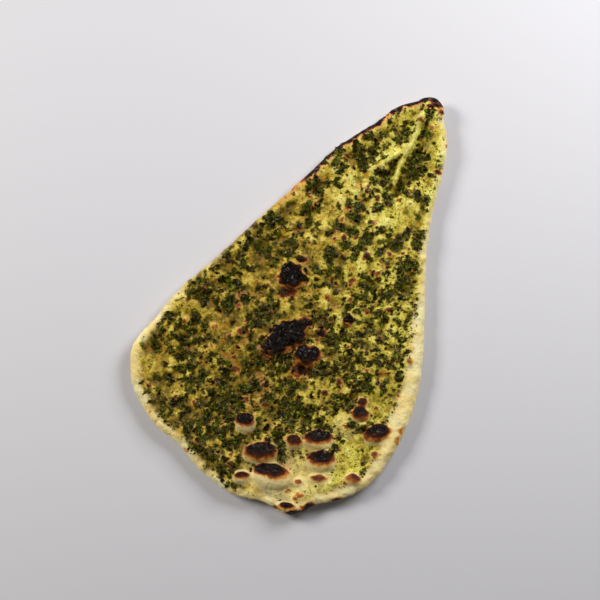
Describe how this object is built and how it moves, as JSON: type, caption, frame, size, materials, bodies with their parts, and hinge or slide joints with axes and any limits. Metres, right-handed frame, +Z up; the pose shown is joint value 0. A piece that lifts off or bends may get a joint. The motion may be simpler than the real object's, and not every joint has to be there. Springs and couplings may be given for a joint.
{
  "type": "naan bread",
  "caption": "Flat teardrop-shaped leavened bread with a puffed rim, charred blisters and a pinched fold, its top meant for chopped herbs and butter.",
  "frame": {"origin": "middle of the bread's length and width, on the surface that its flat underside rests on", "axes": "+Y along its length towards the blunt point, +X across its width towards the fuller flank, +Z up"},
  "size_m": [0.1998, 0.3198, 0.0151],
  "materials": {
    "baked_dough": "satin",
    "chopped_herbs": "satin"
  },
  "bodies": {
    "root": {"naan_bread": "baked_dough"}
  },
  "joints": []
}
